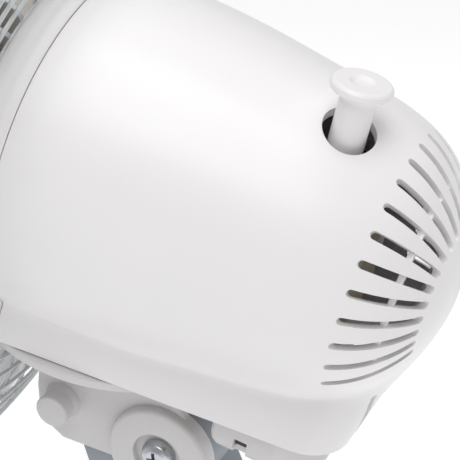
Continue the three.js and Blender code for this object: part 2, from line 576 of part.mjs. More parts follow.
const rearHub = tube(26, 46, REAR_WIRE[0][0] - 1, REAR_WIRE[0][0] + 1, 'y', 24);
const frontHub = tube(30, 43, FRONT_WIRE[0][0] - 1, FRONT_WIRE[0][0] + 1, 'y', 24);
place(head, 'rear_guard', guard(REAR_WIRE, rearHub), WIRE_WHITE);
place(head, 'front_guard', guard(FRONT_WIRE, frontHub), WIRE_WHITE);
const [rimFront, rimRear] = [RIM.frontY - RIM.lip, RIM.rearY + RIM.lip];
const rimBand = turned([[RIM.bandInner, rimFront], [RIM.bandOuter - 1, rimFront], [RIM.bandOuter,
  RIM.frontY],
  [RIM.bandOuter, RIM.rearY], [RIM.bandOuter - 1, rimRear], [RIM.bandInner, rimRear],
  [RIM.bandInner, rimFront]], 'y', 36);
place(head, 'guard_rim', rimBand, WHITE);
const guardNut = turned([[25.4, -58.4], [36, -58.4], [40, -56], [40, -53], [25.4, -53], [25.4, -58.4]],
  'y', 24);
place(head, 'guard_nut', guardNut, OFF_WHITE);
const badge = turned([[0, -154.4], [41, -154.4], [41, -156], [30, -159], [0, -160]], 'y', 28);
place(head, 'guard_badge', badge, WHITE);

// ---- rotor, in the head frame ----

// One blade: a flat slab bent into a twisted, cambered paddle.
function paddle() {
  const geometry = new THREE.BoxGeometry(1, 1, 1, 4, 5, 1);
  const position = geometry.getAttribute('position');
  for (let i = 0; i < position.count; i += 1) {
    const [across, along] = [position.getX(i), position.getY(i) + 0.5];
    const radius = BLADE.root + (BLADE.tip - BLADE.root) * along;
    const round = Math.sqrt(Math.max(0, 1 - (2 * across) ** 2 * 0.55 * along ** 6));
    const reach = BLADE.root + (radius - BLADE.root) * (1 - (1 - round) * 0.35);
    const sweep = (28 + 34 * Math.sin(Math.PI * Math.min(1, along * 0.62 + 0.12))) * across;
    const angle = THREE.MathUtils.degToRad(sweep + 14 * along);
    const pitch = THREE.MathUtils.degToRad(38 - 16 * along);
    const depth = -across * Math.tan(pitch) * 46 + 5 * (2 * across) ** 2 + BLADE.middleY
      + position.getZ(i) * BLADE.thick;
    position.setXYZ(i, reach * Math.sin(angle), depth, reach * Math.cos(angle));
  }
  return solid(geometry);
}

function fanBlade() {
  const { radius, wall, frontY, rearY, sleeveRadius } = BLADE_HUB;
  const bore = SHAFT_RADIUS + GAP;
  const hub = turned([[bore, frontY], [22, frontY], [31, frontY + 4], [radius, frontY + 10], [radius, rearY],
    [radius - wall, rearY], [radius - wall, frontY + 10], [26, frontY + 4], [sleeveRadius, frontY + 3.5],
    [sleeveRadius, rearY - 8], [bore, rearY - 8], [bore, frontY]], 'y', 24);
  const step = 360 / BLADE.count;
  const blades = Array.from({ length: BLADE.count }, (_, i) => paddle().rotate([0,
    BLADE.restAngle + i * step, 0]));
  const inside = rod(radius - wall / 2, frontY - 30, rearY + 20, 'y', 24);
  return join(...blades.map((blade) => blade.subtract(inside)), hub);
}

function worm() {
  class Helix extends THREE.Curve {
    getPoint(t, target = new THREE.Vector3()) {
      const y = WORM.frontY + 1 + t * (WORM.rearY - WORM.frontY - 2);
      const angle = ((y - KNOB.y) * WHEEL.teeth) / WHEEL.pitchRadius;
      return target.set(WORM.radius * Math.cos(angle), y, WORM.radius * Math.sin(angle));
    }
  }
  const thread = swept(new Helix(), WORM.thread, WORM.steps, 4);
  return cut(join(rod(WORM.core, WORM.frontY, WORM.rearY, 'y', 10), thread), rod(2.3, 30, 70, 'y', 8));
}

const shaft = turned([[0, -128], [SHAFT_RADIUS - 0.8, -128], [SHAFT_RADIUS, -127], [SHAFT_RADIUS, 36], [2,
  36],
  [2, 59], [0, 59]], 'y', 12);
place(head, 'rotor_shaft', shaft, STEEL);
const rotorCore = tube(SHAFT_RADIUS + GAP, STATOR.bore - 0.6, STATOR.frontY - 1, STATOR.rearY + 1, 'y', 24);
place(head, 'rotor_core', rotorCore, LAMINATION);
place(head, 'worm', worm(), STEEL);
place(head, 'fan_blade', fanBlade(), BLADE_GREY);
const bladeNut = turned([[0, -132], [8, -131], [14, -126], [16, -116.3], [SHAFT_RADIUS + GAP, -116.3],
  [SHAFT_RADIUS + GAP, -128.3], [0, -128.3]], 'y', 20);
place(head, 'blade_nut', bladeNut, BLADE_GREY);

// ---- oscillation drive, in the head frame ----

const wheel = gear(WHEEL.teeth, WHEEL.pitchRadius + 0.1, WHEEL.pitchRadius - 1.15, 0.7, 1.3, CLUTCH.bore,
  -1.4, 1.4,
  Math.PI / WHEEL.teeth);
place(head, 'worm_wheel', wheel, CREAM, [KNOB.x, KNOB.y, 0]);

const crankToPinion = Math.atan2(KNOB.y - CRANK.y, KNOB.x - CRANK.x);
const [crankRadius, pinionRadius] = [(SPUR_MODULE * CRANK_TEETH) / 2, (SPUR_MODULE * PINION_TEETH) / 2];
const pinion = gear(PINION_TEETH, pinionRadius + 0.9, pinionRadius - 1.5, 0.7, 1.7, CLUTCH.bore,
  SPUR.lowZ, SPUR.highZ,
  crankToPinion + Math.PI + Math.PI / PINION_TEETH);
place(head, 'drive_pinion', pinion, STEEL, [KNOB.x, KNOB.y, 0]);
const crankDisc = gear(CRANK_TEETH, crankRadius + 0.9, crankRadius - 1.5, 0.8, 1.9, 2.3, SPUR.lowZ,
  SPUR.highZ,
  crankToPinion);
const crankPin = rod(2, -51.2, -48, 'z', 10).translate([CRANK.throw, 0, 0]);
place(head, 'crank_gear', join(crankDisc, crankPin), CREAM, [CRANK.x, CRANK.y, 0]);

// The link from the bracket's pin to the crank pin, which runs in a cross slot with clearance.
function crankLink() {
  const reach = CRANK.y - LINK_PIVOT.y;
  const heights = [LINK.lowZ, LINK.highZ];
  const bar = box([-LINK.halfWidth, LINK.halfWidth], [0, reach - 3], heights);
  const eye = rod(LINK.eyeRadius, ...heights, 'z', 16);
  const yokeEnd = box([-15.5, LINK.halfWidth], [reach - 7, reach + 6.5], heights);
  const slot = box([-13.3, -0.4], [reach - 4.2, reach + 4.2], [-60, -40]);
  return cut(join(bar, eye, yokeEnd), slot, rod(2.4, -60, -40, 'z', 12));
}
place(head, 'crank_link', crankLink(), CREAM, [LINK_PIVOT.x, LINK_PIVOT.y, 0]);

// The pull knob and the clutch shaft that it lifts.
const headZ = KNOB.topZ - KNOB.headThick;
const knobProfile = [[0, KNOB.stemZ], [KNOB.shaftRadius, KNOB.stemZ], [KNOB.shaftRadius, headZ - 1],
  [KNOB.shaftRadius + 1, headZ], [KNOB.headRadius - 0.8, headZ], [KNOB.headRadius, headZ + 0.9],
  [KNOB.headRadius, KNOB.topZ - 1], [KNOB.headRadius - 1, KNOB.topZ], [4, KNOB.topZ], [2.8, KNOB.topZ - 0.7],
  [0, KNOB.topZ - 1]];
const knob = cut(turned(knobProfile, 'z', 20), rod(CLUTCH.bore, 0, CLUTCH.highZ + 0.5, 'z', 12));
place(head, 'oscillation_knob', knob, WHITE, [KNOB.x, KNOB.y, 0]);
const clutchShaft = rod(CLUTCH.radius, CLUTCH.lowZ, CLUTCH.highZ, 'z', 12);
place(head, 'clutch_shaft', clutchShaft, STEEL, [KNOB.x, KNOB.y, 0]);

export default object;
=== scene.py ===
"""Desk fan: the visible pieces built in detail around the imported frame. Lengths below are millimetres."""

import json
import math

import bmesh
import bpy
import numpy as np
from mathutils import Matrix, Vector


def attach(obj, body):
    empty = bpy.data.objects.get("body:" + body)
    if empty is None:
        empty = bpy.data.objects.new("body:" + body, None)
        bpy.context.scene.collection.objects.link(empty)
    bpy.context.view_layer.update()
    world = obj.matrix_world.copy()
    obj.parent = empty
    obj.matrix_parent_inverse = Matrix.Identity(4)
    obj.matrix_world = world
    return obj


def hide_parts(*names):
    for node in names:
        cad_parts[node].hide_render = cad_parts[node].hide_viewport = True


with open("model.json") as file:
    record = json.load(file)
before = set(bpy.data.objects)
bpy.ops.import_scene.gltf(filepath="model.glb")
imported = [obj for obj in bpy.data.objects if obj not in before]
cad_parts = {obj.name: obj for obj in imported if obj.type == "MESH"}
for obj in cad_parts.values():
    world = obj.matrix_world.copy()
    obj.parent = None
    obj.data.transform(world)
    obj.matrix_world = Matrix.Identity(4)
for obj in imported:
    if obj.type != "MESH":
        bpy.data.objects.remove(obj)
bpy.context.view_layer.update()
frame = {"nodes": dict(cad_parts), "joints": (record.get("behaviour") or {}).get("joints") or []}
scene = bpy.context.scene

MM = 0.001
JOINTS = {j["name"]: j for j in frame["joints"]}
spin = JOINTS["rotor_spin"]
HEAD = Matrix.Translation(Vector(spin["pos_m"])) @ Matrix(
    ((1, 0, 0), spin["axis"], JOINTS["head_swivel"]["axis"])
).transposed().to_4x4() @ Matrix.Scale(MM, 4)  # x sideways, y rearward along the motor, z up
BASE = Matrix.Scale(MM, 4)

# ---- camera ----
RIGHT = Vector((-0.4374, 0.8993, -0.0045))
UP = Vector((-0.3889, -0.1847, 0.9025))
BACK = Vector((0.8108, 0.3965, 0.4306))
PICTURE_WIDTH = 460
FOCAL = 1329.1  # in the unit of PICTURE_WIDTH
LENS_TRIM = 1.0015  # the lens is made this much shorter than FOCAL gives
SENSOR_WIDTH = 36
AIM_RIGHT, AIM_DOWN = 40.9, 45.1  # from the principal point to the picture's middle
aim = (-BACK + RIGHT * (AIM_RIGHT / FOCAL) - UP * (AIM_DOWN / FOCAL)).normalized()
back = -aim
right = UP.cross(back).normalized()
camera = bpy.data.objects.new("camera", bpy.data.cameras.new("camera"))
scene.collection.objects.link(camera)
camera.matrix_world = Matrix.Translation((0.3387, 0.2042, 0.4715)) @ Matrix(
    (right, back.cross(right), back)
).transposed().to_4x4()
camera.data.sensor_width = SENSOR_WIDTH
camera.data.lens = FOCAL * SENSOR_WIDTH / PICTURE_WIDTH / LENS_TRIM
camera.data.clip_start = 0.01
scene.camera = camera
scene.view_settings.view_transform = "Standard"

# ---- materials ----
GRAIN_SIZE = 1.2  # from one bump to the next


def srgb(*values):
    return [((v / 255 + 0.055) / 1.055) ** 2.4 if v > 10 else v / 255 / 12.92 for v in values] + [1]


class Finish:
    """A material whose colour, roughness and surface vary a little over the piece."""

    def __init__(self, name, colour, roughness, metallic=0, drift=0.03, grain=0.04, dust=0.0):
        self.material = bpy.data.materials.new(name)
        self.material.use_nodes = True
        tree = self.material.node_tree
        self.nodes, self.links = tree.nodes, tree.links
        self.shader = self.nodes["Principled BSDF"]
        self.shader.inputs["Metallic"].default_value = metallic
        self.shader.inputs["IOR"].default_value = 1.48
        self.place = self.nodes.new("ShaderNodeTexCoord").outputs["Object"]
        base = srgb(*colour)
        cloud = self.noise(35, 3)
        darker = [c * (1 - drift) for c in base[:3]] + [1]
        lighter = [min(1, c * (1 + drift * 0.5)) for c in base[:3]] + [1]
        tint = self.mix(cloud, darker, lighter)
        if dust:
            speck = self.ramp(self.noise(900, 2), 0.62, 0.78)
            tint = self.mix(speck, tint, [c * (1 - dust) for c in base[:3]] + [1])
        self.links.new(tint, self.shader.inputs["Base Color"])
        spread = self.nodes.new("ShaderNodeMapRange")
        spread.inputs["To Min"].default_value = roughness * 0.9
        spread.inputs["To Max"].default_value = roughness * 1.12
        self.links.new(self.noise(80, 4), spread.inputs["Value"])
        self.links.new(spread.outputs["Result"], self.shader.inputs["Roughness"])
        bump = self.nodes.new("ShaderNodeBump")
        bump.inputs["Strength"].default_value = 1
        bump.inputs["Distance"].default_value = grain * MM
        self.links.new(self.noise(1000 / GRAIN_SIZE, 3), bump.inputs["Height"])
        self.links.new(bump.outputs["Normal"], self.shader.inputs["Normal"])

    def noise(self, scale, detail):
        node = self.nodes.new("ShaderNodeTexNoise")
        node.inputs["Scale"].default_value = scale
        node.inputs["Detail"].default_value = detail
        self.links.new(self.place, node.inputs["Vector"])
        return node.outputs["Fac"]

    def ramp(self, value, low, high):
        node = self.nodes.new("ShaderNodeMapRange")
        node.inputs["From Min"].default_value = low
        node.inputs["From Max"].default_value = high
        self.links.new(value, node.inputs["Value"])
        return node.outputs["Result"]

    def mix(self, factor, a, b):
        node = self.nodes.new("ShaderNodeMix")
        node.data_type = "RGBA"
        self.links.new(factor, node.inputs[0])
        for socket, value in ((node.inputs[6], a), (node.inputs[7], b)):
            if isinstance(value, list):
                socket.default_value = value
            else:
                self.links.new(value, socket)
        return node.outputs[2]


FINISHES = {
    "white_plastic": Finish("white_plastic", (241, 239, 240), 0.32, grain=0.015, drift=0.015),
    "off_white_plastic": Finish("off_white_plastic", (213, 211, 211), 0.45, grain=0.03),
    "grey_blue_plastic": Finish("grey_blue_plastic", (150, 157, 165), 0.5, grain=0.03),
    "cream_nylon": Finish("cream_nylon", (226, 216, 192), 0.5, grain=0.03),
    "blade_plastic": Finish("blade_plastic", (214, 209, 201), 0.28, grain=0.02),
    "button_plastic": Finish("button_plastic", (232, 231, 228), 0.35, grain=0.02),
    "black_rubber": Finish("black_rubber", (46, 46, 48), 0.85, grain=0.06, dust=0.2),
    "black_plastic": Finish("black_plastic", (28, 28, 30), 0.55, grain=0.03),
    "white_wire": Finish("white_wire", (224, 228, 230), 0.32, drift=0.05, grain=0.02),
    "zinc_steel": Finish("zinc_steel", (196, 199, 204), 0.3, metallic=1, drift=0.08),
    "bare_steel": Finish("bare_steel", (168, 172, 176), 0.34, metallic=1, drift=0.1),
    "cast_aluminium": Finish("cast_aluminium", (176, 178, 180), 0.5, metallic=1, drift=0.1, grain=0.12),
    "lamination_steel": Finish("lamination_steel", (112, 114, 120), 0.55, metallic=1, drift=0.2, grain=0.1),
    "copper_wire": Finish("copper_wire", (196, 112, 64), 0.38, metallic=1, drift=0.2, grain=0.15),
    "sintered_bronze": Finish("sintered_bronze", (176, 136, 78), 0.45, metallic=1, drift=0.12, grain=0.08),
}

# ---- mesh helpers: a skin is (points, faces) ----
SHARP_ANGLE = 35  # degrees between faces from which an edge is drawn sharp


def grid(rows, close_rows=False, cap_start=False, cap_end=False):
    """A skin over rows of equally many points, each row closed round."""
    rows = [np.asarray(row, float) for row in rows]
    count, width = len(rows), len(rows[0])
    faces = []
    for i in range(count if close_rows else count - 1):
        for j in range(width):
            a, b = i * width, ((i + 1) % count) * width
            k = (j + 1) % width
            faces.append((a + j, a + k, b + k, b + j))
    if cap_start:
        faces.append(tuple(range(width)))
    if cap_end:
        faces.append(tuple(range((count - 1) * width, count * width)))
    return np.concatenate(rows), faces


def merged(*skins):
    points, faces, first = [], [], 0
    for p, f in skins:
        points.append(np.asarray(p, float))
        faces += [tuple(i + first for i in face) for face in f]
        first += len(p)
    return np.concatenate(points), faces


def moved(skin, x=0, y=0, z=0):
    return skin[0] + np.array([x, y, z]), skin[1]


def turned_by(skin, degrees, axis="Y"):
    turn = np.array(Matrix.Rotation(math.radians(degrees), 3, axis))
    return skin[0] @ turn.T, skin[1]


def fillet(points, radii, closed=False, steps=5):
    """Rounds the corners of a polyline. radii is one radius or one for each point."""
    points = [np.asarray(p, float) for p in points]
    radii = radii if isinstance(radii, (list, tuple)) else [radii] * len(points)
    made = []
    for i, p in enumerate(points):
        if not closed and i in (0, len(points) - 1) or radii[i] == 0:
            made.append(p)
            continue
        before, after = points[i - 1] - p, points[(i + 1) % len(points)] - p
        la, lb = np.linalg.norm(before), np.linalg.norm(after)
        before, after = before / la, after / lb
        half = math.acos(max(-1, min(1, float(before @ after)))) / 2
        if half > math.pi / 2 - 0.02:
            made.append(p)
            continue
        reach = min(radii[i] / math.tan(half), la * 0.48, lb * 0.48)
        radius = reach * math.tan(half)
        centre = p + (before + after) / np.linalg.norm(before + after) * radius / math.sin(half)
        start, end = p + before * reach - centre, p + after * reach - centre
        span = math.acos(max(-1, min(1, float(start @ end) / radius**2)))
        for k in range(steps + 1):
            t = k / steps
            swung = math.sin((1 - t) * span) * start + math.sin(t * span) * end
            made.append(centre + swung / math.sin(span))
    return made


def turned(profile, axis="z", segments=96, closed=False):
    """A profile of (radius, height) turned about an axis."""
    angles = np.arange(segments) * 2 * math.pi / segments
    rows = []
    for r, h in profile:
        u, v, w = r * np.cos(angles), r * np.sin(angles), np.full(segments, float(h))
        rows.append(np.stack({"z": (u, v, w), "y": (u, w, v), "x": (w, u, v)}[axis], axis=1))
    return grid(rows, close_rows=closed, cap_start=not closed, cap_end=not closed)


def inset(outline, distance):
    """A closed flat outline moved inwards."""
    outline = np.asarray(outline, float)
    tangent = np.roll(outline, -1, 0) - np.roll(outline, 1, 0)
    tangent /= np.linalg.norm(tangent, axis=1, keepdims=True) + 1e-9
    area = np.sum(outline[:, 0] * np.roll(outline[:, 1], -1) - np.roll(outline[:, 0], -1) * outline[:, 1])
    inward = np.stack((-tangent[:, 1], tangent[:, 0]), axis=1) * (1 if area > 0 else -1)
    return outline + inward * distance


def slab(outline, low, high, axis="z", edge=0.6, steps=3):
    """A flat outline as a plate with rounded edges."""
    rows = []
    turns = [k / steps * math.pi / 2 for k in range(steps + 1)]
    levels = [(edge * (1 - math.sin(a)), low + edge * (1 - math.cos(a))) for a in turns]
    levels += [(draw, high + low - h) for draw, h in reversed(levels)]
    for draw, h in levels:
        flat = inset(outline, draw)
        column = np.full(len(flat), h)
        order = {"z": (flat[:, 0], flat[:, 1], column), "x": (column, flat[:, 0], flat[:, 1]),
                 "y": (flat[:, 0], column, flat[:, 1])}[axis]
        rows.append(np.stack(order, axis=1))
    return grid(rows, cap_start=True, cap_end=True)


def rectangle(width, depth, radius):
    corners = [(-1, -1), (1, -1), (1, 1), (-1, 1)]
    return fillet([(sx * width / 2, sy * depth / 2) for sx, sy in corners], radius, closed=True)


def tube(points, radius, sides, side):
    """A round wire along points. side is a vector that is never along the wire."""
    tangent = np.gradient(points, axis=0)
    tangent /= np.linalg.norm(tangent, axis=1, keepdims=True)
    first = np.cross(tangent, np.asarray(side, float))
    first /= np.linalg.norm(first, axis=1, keepdims=True)
    second = np.cross(tangent, first)
    angles = np.arange(sides) * 2 * math.pi / sides
    rows = [p + radius * (np.cos(angles)[:, None] * a + np.sin(angles)[:, None] * b)
            for p, a, b in zip(points, first, second)]
    return grid(rows, cap_start=True, cap_end=True)


def spline(points, count):
    """A smooth line through points, with its curvature continuous."""
    points = np.asarray(points, float)
    n = len(points)
    t = np.concatenate(([0], np.cumsum(np.linalg.norm(np.diff(points, axis=0), axis=1))))
    h = np.diff(t)
    matrix = np.eye(n)
    target = np.zeros(points.shape)
    for i in range(1, n - 1):
        matrix[i, i - 1 : i + 2] = h[i - 1], 2 * (h[i - 1] + h[i]), h[i]
        target[i] = 6 * ((points[i + 1] - points[i]) / h[i] - (points[i] - points[i - 1]) / h[i - 1])
    bend = np.linalg.solve(matrix, target)
    at = np.linspace(0, t[-1], count)
    k = np.clip(np.searchsorted(t, at) - 1, 0, n - 2)
    a, b, w = (t[k + 1] - at)[:, None], (at - t[k])[:, None], h[k][:, None]
    return ((bend[k] * a**3 + bend[k + 1] * b**3) / (6 * w) + (points[k] / w - bend[k] * w / 6) * a
            + (points[k + 1] / w - bend[k + 1] * w / 6) * b)


def mesh_of(name, skin, place, angle=SHARP_ANGLE):
    mesh = bpy.data.meshes.new(name)
    points = np.asarray(skin[0], float)
    world = np.array(place)
    points = points @ world[:3, :3].T + world[:3, 3]
    mesh.from_pydata(points.tolist(), [], [list(f) for f in skin[1]])
    work = bmesh.new()
    work.from_mesh(mesh)
    bmesh.ops.remove_doubles(work, verts=work.verts, dist=1e-7)
    bmesh.ops.dissolve_degenerate(work, edges=work.edges, dist=1e-8)
    bmesh.ops.recalc_face_normals(work, faces=work.faces)
    work.to_mesh(mesh)
    work.free()
    smooth_mesh(mesh, angle)
    return mesh


def smooth_mesh(mesh, angle=SHARP_ANGLE):
    mesh.shade_smooth()
    mesh.set_sharp_from_angle(angle=math.radians(angle))


def carved(mesh, *cutters):
    """The mesh with other meshes cut out of it."""
    for cutter in cutters:
        target, tool = bpy.data.objects.new("target", mesh), bpy.data.objects.new("tool", cutter)
        for o in (target, tool):
            scene.collection.objects.link(o)
        modifier = target.modifiers.new("cut", "BOOLEAN")
        modifier.operation, modifier.solver, modifier.object = "DIFFERENCE", "EXACT", tool
        mesh = bpy.data.meshes.new_from_object(target.evaluated_get(bpy.context.evaluated_depsgraph_get()))
        for o in (target, tool):
            bpy.data.objects.remove(o)
    smooth_mesh(mesh)
    return mesh


def piece(name, mesh, body, slot, smoothing=True):
    mesh.materials.clear()
    mesh.materials.append(FINISHES[slot].material)
    made = bpy.data.objects.new(name, mesh)
    scene.collection.objects.link(made)
    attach(made, body)
    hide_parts(name.removesuffix("_shape"))
    if smoothing:
        weighted = made.modifiers.new("normals", "WEIGHTED_NORMAL")
        weighted.keep_sharp = True
        weighted.weight = 60


# ---- rear housing ----
SEAM_Y, SKIRT_Z, WALL = -36.6, -51.5, 2.4
BARREL = [(SEAM_Y, 57.8), (2.7, 55.5), (33.8, 51.2), (57.1, 47.1), (71.3, 40.8), (82, 29.2), (88, 14.8),
          (89.8, 0)]
KNOB_X, KNOB_Y = 15.2, 48.5
FILLET = 4.5  # softness of the crease between barrel and skirt
SKIRT_CORNER = 13
SKIRT_BELOW, SKIRT_BEYOND = -12.0, 90.0  # where the skirt's walls are searched for, from the barrel's skin
LEAN_START = 60  # from here on the search direction leans over to the motor's axis
RINGS = 96  # from the housing's border to the middle of its map
SEAM_POINTS, EDGE_SEARCHES, EDGE_POINTS = 230, 1200, 170
MAP_MIDDLE = (0, 50.0)
CALM_RING = 88  # from here on the inside runs straight to the middle, where normals are too close to trust

line = spline(BARREL + [(88, -14.8), (82, -29.2)], 3000)
line = line[: int(np.argmax(line[:, 1] < 0)) + 1]
length_along = np.concatenate(([0], np.cumsum(np.linalg.norm(np.diff(line, axis=0), axis=1))))
LENGTH = float(length_along[-1])


def skirt(x, y, z):
    """How far a point is outside the skirt's leaning side and rear walls, with their round corner."""
    rise = z - SKIRT_Z
    side = (np.abs(x) - 46 + 0.117 * (y + 32) + 0.45 * rise) / 1.103
    rear = (y - 76 - 0.26 * rise) / 1.033
    a, b, r = side + SKIRT_CORNER, rear + SKIRT_CORNER, SKIRT_CORNER
    return np.minimum(np.maximum(a, b), 0) + np.hypot(np.maximum(a, 0), np.maximum(b, 0)) - r


def housing_point(u, v):
    """A point of the housing from its place on a flat map centred on the rear end."""
    far, angle = np.hypot(u, v), np.arctan2(u, v)
    s = np.clip(LENGTH - far, 0, LENGTH)
    y, r = np.interp(s, length_along, line[:, 0]), np.interp(s, length_along, line[:, 1])
    t = np.clip((s - LEAN_START) / (LENGTH - LEAN_START), 0, 1)
    lean = t * t * (3 - 2 * t) * math.pi / 2
    level_part = np.cos(lean)
    direction = np.stack((level_part * np.sin(angle), np.sin(lean), level_part * np.cos(angle)), axis=-1)
    start = np.stack((r * np.sin(angle), y, r * np.cos(angle)), axis=-1)
    low, high = np.full(far.shape, SKIRT_BELOW), np.full(far.shape, SKIRT_BEYOND)
    inside = skirt(*np.moveaxis(start + direction * low[..., None], -1, 0)) < 0
    for _ in range(34):
        middle = (low + high) / 2
        within = skirt(*np.moveaxis(start + direction * middle[..., None], -1, 0)) < 0
        low, high = np.where(within, middle, low), np.where(within, high, middle)
    out = np.where(inside, high, SKIRT_BELOW)
    near = np.maximum(FILLET - np.abs(out), 0) / FILLET
    return start + direction * (np.maximum(out, 0) + near * near * FILLET / 4)[..., None]


def level(u, v):
    return housing_point(np.asarray(u, float), np.asarray(v, float))[..., 2]


def search(low, high, test):
    """The place between low and high where test turns false, for whole arrays."""
    low, high = np.array(low, float), np.array(high, float)
    for _ in range(36):
        middle = (low + high) / 2
        ok = test(middle)
        low, high = np.where(ok, middle, low), np.where(ok, high, middle)
    return low


def evenly(points, count):
    points = np.asarray(points, float)
    run = np.concatenate(([0], np.cumsum(np.linalg.norm(np.diff(points, axis=0), axis=1))))
    at = np.linspace(0, run[-1], count)
    return np.stack([np.interp(at, run, points[:, k]) for k in range(points.shape[1])], axis=1)


corner = float(search(np.array([math.pi / 2]), np.array([math.pi]),
                      lambda a: level(LENGTH * np.sin(a), LENGTH * np.cos(a)) > SKIRT_Z)[0])
arc = np.linspace(-corner, corner, SEAM_POINTS)
seam_line = np.stack((LENGTH * np.sin(arc), LENGTH * np.cos(arc)), axis=1)
across = LENGTH * math.sin(corner) * np.sin(np.linspace(math.pi / 2, -math.pi / 2, EDGE_SEARCHES))
lower = -search(np.zeros(across.shape), np.sqrt(np.maximum(LENGTH**2 - across**2, 0)) + 1e-3,
                lambda d: level(across, -d) > SKIRT_Z)
edge_line = evenly(np.stack((across, lower), axis=1), EDGE_POINTS)[1:-1]
border = np.concatenate((seam_line, edge_line))
middle_point = np.array(MAP_MIDDLE)
shares = 1 - np.arange(RINGS) / RINGS
flat = middle_point + (border - middle_point) * shares[:, None, None]
outer = housing_point(flat[..., 0], flat[..., 1])
tip = housing_point(middle_point[:1], middle_point[1:])


def normals_of(rows):
    around = np.roll(rows, -1, 1) - np.roll(rows, 1, 1)
    along = np.gradient(rows, axis=0)
    normal = np.cross(along, around)
    normal /= np.linalg.norm(normal, axis=2, keepdims=True) + 1e-12
    outward = np.einsum("ijk,ijk->ij", normal, rows - np.array([0, 10, -10]))
    return normal * np.sign(np.median(outward))


normal = normals_of(outer)
inner = outer - normal * WALL
on_seam, on_edge = np.arange(len(seam_line)), np.arange(len(seam_line), len(border))
inner[0, on_seam, 1] = SEAM_Y
inner[0, on_edge, 2] = SKIRT_Z
inner[0, [0, len(seam_line) - 1], 2] = SKIRT_Z
pole = inner[CALM_RING].mean(0)
calm_shares = shares[CALM_RING:] / shares[CALM_RING]
inner[CALM_RING:] = pole + (inner[CALM_RING] - pole) * calm_shares[:, None, None]
width = len(border)
points = np.concatenate((outer.reshape(-1, 3), tip, inner.reshape(-1, 3), [pole]))
half = RINGS * width + 1
faces = []
for first in (0, half):
    for i in range(RINGS - 1):
        for j in range(width):
            k = (j + 1) % width
            faces.append((first + i * width + j, first + i * width + k, first + (i + 1) * width + k,
                          first + (i + 1) * width + j))
    for j in range(width):
        last = first + (RINGS - 1) * width
        faces.append((last + j, last + (j + 1) % width, last + width))
for j in range(width):
    k = (j + 1) % width
    faces.append((j, k, half + k, half + j))
housing = mesh_of("rear_housing_shape", (points, faces), HEAD)


VENT_PITCH, VENT_FROM_TOP = 11.45, 3.3  # degrees round the motor's axis
VENTS_EACH_WAY = 10
VENT_HALF = 1.25
VENT_FRONT, VENT_INNER = 67.25, 23.25  # centres of the round ends, along the motor and out from its axis


def vent_tool():
    """A long slot with round ends, from the barrel over onto the rear end."""
    turns = [k * math.pi / 6 for k in range(7)]
    front = [(VENT_HALF * math.cos(a), VENT_FRONT - VENT_HALF * math.sin(a)) for a in turns]
    rear = [(VENT_HALF * math.cos(a), VENT_INNER - VENT_HALF * math.sin(a)) for a in turns]
    section = [(x, y, z) for z in (62.0, 30.0) for x, y in front]
    section += [(x, y, z) for y in (72.0, 96.0) for x, z in rear]
    section += [(-VENT_HALF, 96, 62), (VENT_HALF, 96, 62)]
    work = bmesh.new()
    vertices = [work.verts.new(p) for p in section]
    bmesh.ops.convex_hull(work, input=vertices)
    bmesh.ops.delete(work, geom=[v for v in work.verts if not v.link_faces], context="VERTS")
    work.verts.index_update()
    skin = (np.array([v.co[:] for v in work.verts]), [tuple(v.index for v in f.verts) for f in work.faces])
    work.free()
    return skin


vent = vent_tool()
vent_numbers = range(-VENTS_EACH_WAY, VENTS_EACH_WAY + 1)
vents = [turned_by(vent, VENT_FROM_TOP + i * VENT_PITCH) for i in vent_numbers]
louvre = fillet([(-1, -48), (1, -48), (1, -32), (-1, -32)], 0.95, closed=True)
louvres = [moved(slab(louvre, 66, 92, "y", edge=0.01), x=i * 6) for i in range(-3, 4)]
knob_hole = moved(turned([(8, 20), (8, 70)], segments=64), KNOB_X, KNOB_Y)
tools = mesh_of("tools", merged(*vents, *louvres, knob_hole), HEAD)
housing = carved(housing, tools)
ring = turned([(30.6, 76.2), (33.6, 76.2), (33.6, 78), (30.6, 78)], "y", closed=True)
parts = bmesh.new()
parts.from_mesh(housing)
parts.from_mesh(mesh_of("ring", merged(ring), HEAD))
parts.to_mesh(housing)
parts.free()
smooth_mesh(housing, 30)
piece("rear_housing_shape", housing, "head", "white_plastic", smoothing=False)

# ---- front cover ----
COVER_POINTS = 260
COVER_RADIUS = 58.3
COVER_REACH = 78  # the furthest out the outline may run into the skirt


def cover_outline(shrink):
    """The cover's outline seen along the motor: a circle that runs into the skirt, cut flat below."""
    angle = np.linspace(0, 2 * math.pi, COVER_POINTS, endpoint=False)
    radius = np.full(COVER_POINTS, COVER_RADIUS)
    for _ in range(30):
        x, z = radius * np.sin(angle), radius * np.cos(angle)
        wanted = 46.8 - 0.45 * (z - SKIRT_Z)
        grow = np.where(np.cos(angle) < -0.3, wanted - np.abs(x), -9)
        near = np.maximum(4 - np.abs(grow), 0) / 4
        step = np.maximum(grow, 0) + near * near * 0.2
        radius = np.maximum(COVER_RADIUS, radius + np.clip(step, 0, 3) * 0.6)
        radius = np.minimum(radius, COVER_REACH)
    bottom = np.where(np.cos(angle) < -0.1, SKIRT_Z / np.minimum(np.cos(angle), -0.1), 1e3)
    radius = np.minimum(radius, bottom)
    flat = np.stack((radius * np.sin(angle), radius * np.cos(angle)), axis=1)
    return inset(flat, shrink)


def ring_row(flat, y):
    flat = np.asarray(flat)
    return np.stack((flat[:, 0], np.full(len(flat), float(y)), flat[:, 1]), axis=1)


def round_row(radius, y):
    angle = np.linspace(0, 2 * math.pi, COVER_POINTS, endpoint=False)
    along = np.full(COVER_POINTS, float(y))
    return np.stack((radius * np.sin(angle), along, radius * np.cos(angle)), axis=1)


